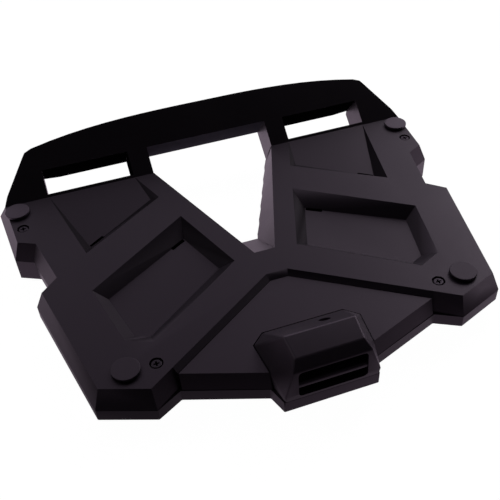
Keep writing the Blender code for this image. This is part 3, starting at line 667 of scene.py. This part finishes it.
screws = {}
pattern = screw_pattern(COVER_SCREWS[0])
for node in COVER_SCREWS:
    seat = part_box(node)[1].z - HEAD_HEIGHT
    screws[node] = copy_of(pattern, node.replace("cover", "cross"), on_axis(node, seat))
bpy.data.objects.remove(pattern)
pattern = screw_pattern(UNDER_SCREWS[0])
only(pattern)
bpy.ops.object.mode_set(mode="EDIT")
bpy.ops.mesh.select_all(action="SELECT")
bpy.ops.transform.rotate(value=math.pi, orient_axis="X", center_override=(0, 0, 0))
bpy.ops.object.mode_set(mode="OBJECT")
for node in UNDER_SCREWS:
    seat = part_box(node)[0].z + HEAD_HEIGHT
    screws[node] = copy_of(pattern, "under_" + node, on_axis(node, seat))
bpy.data.objects.remove(pattern)
print("screws:", sorted(piece.name for piece in screws.values()))

# %% [markdown]
# ## Grained black plastic
#
# The mouldings are black plastic with a fine spark-eroded grain, which scatters the light: the surface is
# never glossy, and its tone drifts a little where the melt flowed. The pattern comes from noise in object
# coordinates. Every piece is in metres with its place in its mesh, so the grain has one real size on all
# of them. A fine noise gives the pits of the grain, a wide one the slow drift of colour and roughness,
# and a middle one the faint mottling that handling leaves.

# %% Noise
GRAIN_SIZE = 0.45 * MM     # width of one pit of the grain
MOTTLE_SIZE = 4.0 * MM
DRIFT_SIZE = 50.0 * MM     # width of the slow drift of tone
NOISE_MIDDLE = (0.3, 0.7)  # most of a noise's values lie between these


def noise(tree, coords, size, detail, name):
    """A noise texture whose features are about size metres wide."""
    node = tree.nodes.new("ShaderNodeTexNoise")
    node.name = name
    node.inputs["Scale"].default_value = 1.0 / size
    node.inputs["Detail"].default_value = detail
    tree.links.new(coords.outputs["Object"], node.inputs["Vector"])
    return node


def spread_of(tree, value, low, high):
    """Maps a noise's middle range to low..high."""
    node = tree.nodes.new("ShaderNodeMapRange")
    node.inputs["From Min"].default_value, node.inputs["From Max"].default_value = NOISE_MIDDLE
    node.inputs["To Min"].default_value = low
    node.inputs["To Max"].default_value = high
    tree.links.new(value, node.inputs["Value"])
    return node


print("grain, mottling and drift in mm:", [round(v / MM, 2) for v in (GRAIN_SIZE, MOTTLE_SIZE, DRIFT_SIZE)])

# %% [markdown]
# ## The plastic's shader
#
# One function builds the plastic for every moulding, and only its colour, roughness, grain and shine
# differ. The noises move the base colour and the roughness a little up and down, and the pits go through
# a bump node, which tilts the surface for the light without adding faces. The sheen is faintly mauve, as it
# is in the photograph.

# %% Plastic
MOTTLE_SHARE = 0.4         # the rest is drift
TONE_SPREAD = 0.14         # the base colour varies by this share of itself
ROUGH_SPREAD = 0.03
GRAIN_DEPTH = 0.04 * MM
TONE_DETAIL = 3.0          # how finely each noise is broken up
GRAIN_DETAIL = 2.0
SHEEN_TINT = (1.0, 0.84, 1.0, 1)


def plastic(name, colour, roughness, grain, specular=0.5):
    """Moulded plastic: a colour with a slow drift and mottling, a rough sheen and a fine raised grain."""
    material = bpy.data.materials.new(name)
    material.use_nodes = True
    tree = material.node_tree
    shader = tree.nodes["Principled BSDF"]
    coords = tree.nodes.new("ShaderNodeTexCoord")
    drift = noise(tree, coords, DRIFT_SIZE, TONE_DETAIL, "drift")
    mottle = noise(tree, coords, MOTTLE_SIZE, TONE_DETAIL, "mottle")
    pits = noise(tree, coords, GRAIN_SIZE, GRAIN_DETAIL, "pits")
    both = tree.nodes.new("ShaderNodeMix")
    both.inputs["Factor"].default_value = MOTTLE_SHARE
    tree.links.new(drift.outputs["Fac"], both.inputs["A"])
    tree.links.new(mottle.outputs["Fac"], both.inputs["B"])
    tone = tree.nodes.new("ShaderNodeMix")
    tone.data_type = "RGBA"
    tone.inputs["A"].default_value = tuple((1 - TONE_SPREAD) * part for part in colour) + (1,)
    tone.inputs["B"].default_value = tuple((1 + TONE_SPREAD) * part for part in colour) + (1,)
    blend = spread_of(tree, both.outputs["Result"], 0.0, 1.0)
    tree.links.new(blend.outputs[0], tone.inputs["Factor"])
    tree.links.new(tone.outputs["Result"], shader.inputs["Base Color"])
    rough = spread_of(tree, both.outputs["Result"], roughness - ROUGH_SPREAD, roughness + ROUGH_SPREAD)
    tree.links.new(rough.outputs[0], shader.inputs["Roughness"])
    bump = tree.nodes.new("ShaderNodeBump")
    bump.inputs["Strength"].default_value = grain
    bump.inputs["Distance"].default_value = GRAIN_DEPTH
    tree.links.new(pits.outputs["Fac"], bump.inputs["Height"])
    tree.links.new(bump.outputs["Normal"], shader.inputs["Normal"])
    shader.inputs["Specular IOR Level"].default_value = specular
    shader.inputs["Specular Tint"].default_value = SHEEN_TINT
    return material


def dress(mesh, *materials):
    """Gives a mesh these materials, the main one first."""
    mesh.materials.clear()
    for material in materials:
        mesh.materials.append(material)


MOULD_BLACK = (0.0075, 0.0056, 0.0086)
cover_plastic = plastic("cover_plastic_grained", MOULD_BLACK, roughness=0.46, grain=0.35)
panel_plastic = plastic("panel_plastic_grained", MOULD_BLACK, roughness=0.48, grain=0.35, specular=0.58)
tray_plastic = plastic("tray_plastic_fine", (0.0042, 0.0036, 0.0048), roughness=0.42, grain=0.20)
block_plastic = plastic("block_plastic_grained", (0.0070, 0.0053, 0.0080), roughness=0.44, grain=0.30,
                        specular=0.95)
show_finishes = (cover_plastic, panel_plastic, tray_plastic, block_plastic)
print("show finishes:", [material.name for material in show_finishes])

# %% [markdown]
# ## Painted shade and light on inner walls
#
# Some inner walls get painted shade: their finishes are rougher than the show side, hardly mirror the room,
# and are dark or nearly black, to stand for the shade that falls there. The far wall of the bar's middle
# opening instead gets painted light, a paler base colour. Each moulding carries all the finishes that it
# needs, the main one first.

# %% Painted shade and light on inner walls
# Coarse grain with painted shade: near-black and without sheen, so the far walls of the side openings and the
# strut's side stay dark as if in shade.
slot_coarse_painted_shade = plastic("slot_wall_coarse_painted_shade", (0.0040, 0.0034, 0.0046), roughness=0.90, grain=1.0, specular=0.0)
# Painted light: the far wall of the bar's middle opening gets a paler base colour, for the light falling on
# it.
middle_painted_light = plastic("middle_wall_painted_light", (0.1500, 0.1380, 0.1700), roughness=0.80, grain=0.6,
                         specular=0.0)
# Painted shade: the slit walls are nearly black, for the shade inside the slits.
shade_plastic = plastic("slit_wall_painted_shade", (0.0010, 0.0008, 0.0011), roughness=0.9, grain=0.5,
                        specular=0.0)
# Painted shade: the walls of the wedge pockets and of the sunk pockets by the opening are darker, with less
# sheen, for the shade in the pockets.
wedge_shade_plastic = plastic("wedge_wall_painted_shade", (0.0050, 0.0040, 0.0058), roughness=0.62, grain=0.6,
                        specular=0.22)

dress(mouldings["top_cover"].data, cover_plastic, shade_plastic, wedge_shade_plastic)
dress(mouldings["rear_panel"].data, panel_plastic)
dress(mouldings["base_tray"].data, tray_plastic, slot_coarse_painted_shade, middle_painted_light, block_plastic)
dress(mouldings["latch_block"].data, block_plastic)
dress(lip.data, block_plastic)
print("finishes:", {node: len(piece.data.materials) for node, piece in mouldings.items()})

# %% [markdown]
# ## Walls of the cover with painted shade
#
# The faces that get painted shade are found by their direction and place. Each rule below takes a face's
# middle and normal and says whether the face belongs: the walls of the four slits, the side walls of the two
# wedge pockets, and the sunk pockets' walls beside the central opening. The distances from the middle plane
# are taken without their sign, so one rule serves both sides.

# %% Faces of the cover
SLIT_BELOW = 31.2 * MM
SLIT_REACH = 0.7 * MM
UPRIGHT = 0.5              # the normal of an upright wall rises or falls by less than this
WEDGE_X = (60 * MM, 182 * MM)
WEDGE_Y = (44 * MM, 118 * MM)
WEDGE_STEEP = (0.0, 0.93)  # how far the normals of the wedge pockets' walls rise
POCKET_REAR = Vector((28.1 * MM, -28.7 * MM))
POCKET_FRONT = Vector((54.4 * MM, 46.4 * MM))
POCKET_WALL = 11.0 * MM
POCKET_FLOOR = 28.5 * MM
POCKET_STEEP = (0.1, 0.97)


def in_slit(middle, normal):
    """Picks the upright walls of the four slits."""
    if middle.z > SLIT_BELOW or abs(normal.z) > UPRIGHT:
        return False
    for x, y, angle in SLITS:
        way = Vector((math.cos(math.radians(angle)), math.sin(math.radians(angle))))
        offset = Vector((abs(middle.x) - x * MM, middle.y - y * MM))
        along, across = offset.dot(way), way.cross(offset)
        if abs(along) < SLIT_HALF[0] + SLIT_REACH and abs(across) < SLIT_HALF[1] + SLIT_REACH:
            return True
    return False


def wedge_wall(middle, normal):
    """Picks the sloping walls of the two wedge pockets."""
    return (WEDGE_X[0] < abs(middle.x) < WEDGE_X[1] and WEDGE_Y[0] < middle.y < WEDGE_Y[1]
            and middle.z > SLIT_BELOW and WEDGE_STEEP[0] < normal.z < WEDGE_STEEP[1])


def inner_wall(middle, normal):
    """Picks the walls of the two sunk pockets that lie nearest to the central opening."""
    way = (POCKET_FRONT - POCKET_REAR).normalized()
    offset = Vector((abs(middle.x), middle.y)) - POCKET_REAR
    beside = offset.cross(way)
    return (0 < offset.dot(way) < (POCKET_FRONT - POCKET_REAR).length and 0 < beside < POCKET_WALL
            and POCKET_STEEP[0] < normal.z < POCKET_STEEP[1] and middle.z > POCKET_FLOOR)


print("rules for the cover's faces ready")

# %% [markdown]
# ## Painted shade and light on the tray
#
# On the tray the far walls of the bar's side openings and the left side of the left strut between them get
# a coarse finish with painted shade, and the far wall of the middle opening gets painted light. The skirt
# below
# the latch block is the opposite case: it has the block's own finish, because the two run into one face
# there.

# %% Faces of the tray
BAR_DOWN = Vector((0.0, -0.766, -0.643))   # the far walls of the bar's openings face this way
SAME_WAY = 0.93            # and a normal whose dot product with it is over this faces the same way
BAR_WALL_ABOVE = 20.0 * MM
BAR_WALL_BEFORE = 160.0 * MM
MIDDLE_HALF = 63.0 * MM
STRUT_X = (-95.0 * MM, -60.0 * MM)
STRUT_Y = 118.0 * MM
STRUT_Z = 10.0 * MM
FACING_LEFT = -0.7         # a normal whose X is below this faces left
BLOCK_HALF = 44.0 * MM
BLOCK_REAR = -151.0 * MM
NOT_FLAT = 0.3             # the normal of a wall goes sideways by more than this


def far_wall(middle, normal):
    """Tells whether a face is on the far wall of one of the bar's openings."""
    return normal.dot(BAR_DOWN) > SAME_WAY and middle.z > BAR_WALL_ABOVE and middle.y < BAR_WALL_BEFORE


def side_far_wall(middle, normal):
    """Picks the far walls of the bar's two side openings."""
    return far_wall(middle, normal) and abs(middle.x) > MIDDLE_HALF


def middle_far_wall(middle, normal):
    """Picks the far wall of the bar's middle opening."""
    return far_wall(middle, normal) and abs(middle.x) <= MIDDLE_HALF


def strut_side(middle, normal):
    """Picks the left side of the left strut between the bar's openings."""
    return (STRUT_X[0] < middle.x < STRUT_X[1] and middle.y > STRUT_Y and middle.z > STRUT_Z
            and normal.x < FACING_LEFT)


def below_block(middle, normal):
    """Picks the skirt below the latch block."""
    return (abs(middle.x) < BLOCK_HALF and middle.y < BLOCK_REAR
            and abs(normal.x) + abs(normal.y) > NOT_FLAT)


print("rules for the tray's faces ready")

# %% [markdown]
# ## Painting the faces
#
# By hand one would select such faces in edit mode and assign them a material slot. The loop does the same
# for one rule after the other, and a face that two of them pick keeps the later finish.

# %% Paint the faces
def paint_faces(piece, material, wanted):
    """Gives the faces for which wanted(middle, normal) is true another of the piece's materials."""
    slot = piece.data.materials.find(material.name)
    count = 0
    for face in piece.data.polygons:
        if wanted(face.center, face.normal):
            face.material_index = slot
            count += 1
    return count


# Painted shade goes on the slits, the side openings' far walls, the strut side and the pocket walls; painted
# light on the middle far wall.
for node, material, wanted in (("top_cover", shade_plastic, in_slit),
                               ("base_tray", slot_coarse_painted_shade, side_far_wall),
                               ("base_tray", middle_painted_light, middle_far_wall),
                               ("base_tray", block_plastic, below_block),
                               ("top_cover", wedge_shade_plastic, wedge_wall),
                               ("base_tray", slot_coarse_painted_shade, strut_side),
                               ("top_cover", wedge_shade_plastic, inner_wall)):
    count = paint_faces(mouldings[node], material, wanted)
    print(material.name, "on", count, "faces of", node)

# %% [markdown]
# ## Rubber and coated steel
#
# The feet are soft rubber: paler than the plastic, with a dull sheen and a coarser skin. The two at the
# front get painted light, a paler colour and a stronger sheen, for the brighter light that falls on them.
# The screws are steel with a black coating, so they are partly metallic, dark and fairly rough, and their
# cross recesses get a near-black painted shade.

# %% Rubber and coated steel
COAT_METAL = 0.6
RECESS_DEPTH = (0.05 * MM, 2.0 * MM)   # the recess's faces lie between these depths below the head's top
RECESS_REACH = 3.1 * MM                # and nearer than this to its axis

rubber = plastic("foot_rubber_matte", (0.0160, 0.0130, 0.0175), roughness=0.56, grain=0.8, specular=0.62)
# Painted light: the front feet are paler, for the brighter light on them.
rubber_painted_light = plastic("foot_rubber_painted_light", (0.0520, 0.0430, 0.0550), roughness=0.56, grain=0.8, specular=0.95)
coated = plastic("screw_steel_coated", (0.030, 0.027, 0.032), roughness=0.36, grain=0.15)
coated.node_tree.nodes["Principled BSDF"].inputs["Metallic"].default_value = COAT_METAL
# Painted shade: the cross recess is nearly black, for the shade inside it.
recess = plastic("screw_recess_dark", (0.0012, 0.0010, 0.0014), roughness=0.8, grain=0.3, specular=0.0)


def in_recess(piece):
    """A rule that picks the faces of a screw's cross recess: below the head's top and near its axis."""
    corners = [vertex.co for vertex in piece.data.vertices]
    axis = sum(corners, Vector()) / len(corners)
    top = max(corner.z for corner in corners)
    bottom = min(corner.z for corner in corners)
    head = bottom if "under" in piece.name else top
    return lambda middle, normal: (RECESS_DEPTH[0] < abs(head - middle.z) < RECESS_DEPTH[1]
                                   and (middle - axis).xy.length < RECESS_REACH)


# The front feet take the rubber with painted light.
for node, piece in feet.items():
    dress(piece.data, rubber_painted_light if "front" in node else rubber)
# The cross recesses take the painted shade.
for piece in screws.values():
    dress(piece.data, coated, recess)
    paint_faces(piece, recess, in_recess(piece))
for node, material in (("top_cover", cover_plastic), ("rear_panel", panel_plastic),
                       ("base_tray", tray_plastic), ("latch_block", block_plastic)):
    dress(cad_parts[node].data, material)
for node in feet:
    dress(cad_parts[node].data, rubber)
for node in screws:
    dress(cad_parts[node].data, coated)
print("rubber on", len(feet), "feet, coated steel on", len(screws), "screws")

# %% [markdown]
# ## Tie the pieces to the frame
#
# Each new piece stands for the CAD node that it was made for, and all of them belong to the one body of
# the plate.

# %% Tie to the frame
for node, piece in {**mouldings, **feet, **screws}.items():
    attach(piece, "root")
    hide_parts(node)
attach(lip, "root")
print("replaced nodes:", len(mouldings) + len(feet) + len(screws))
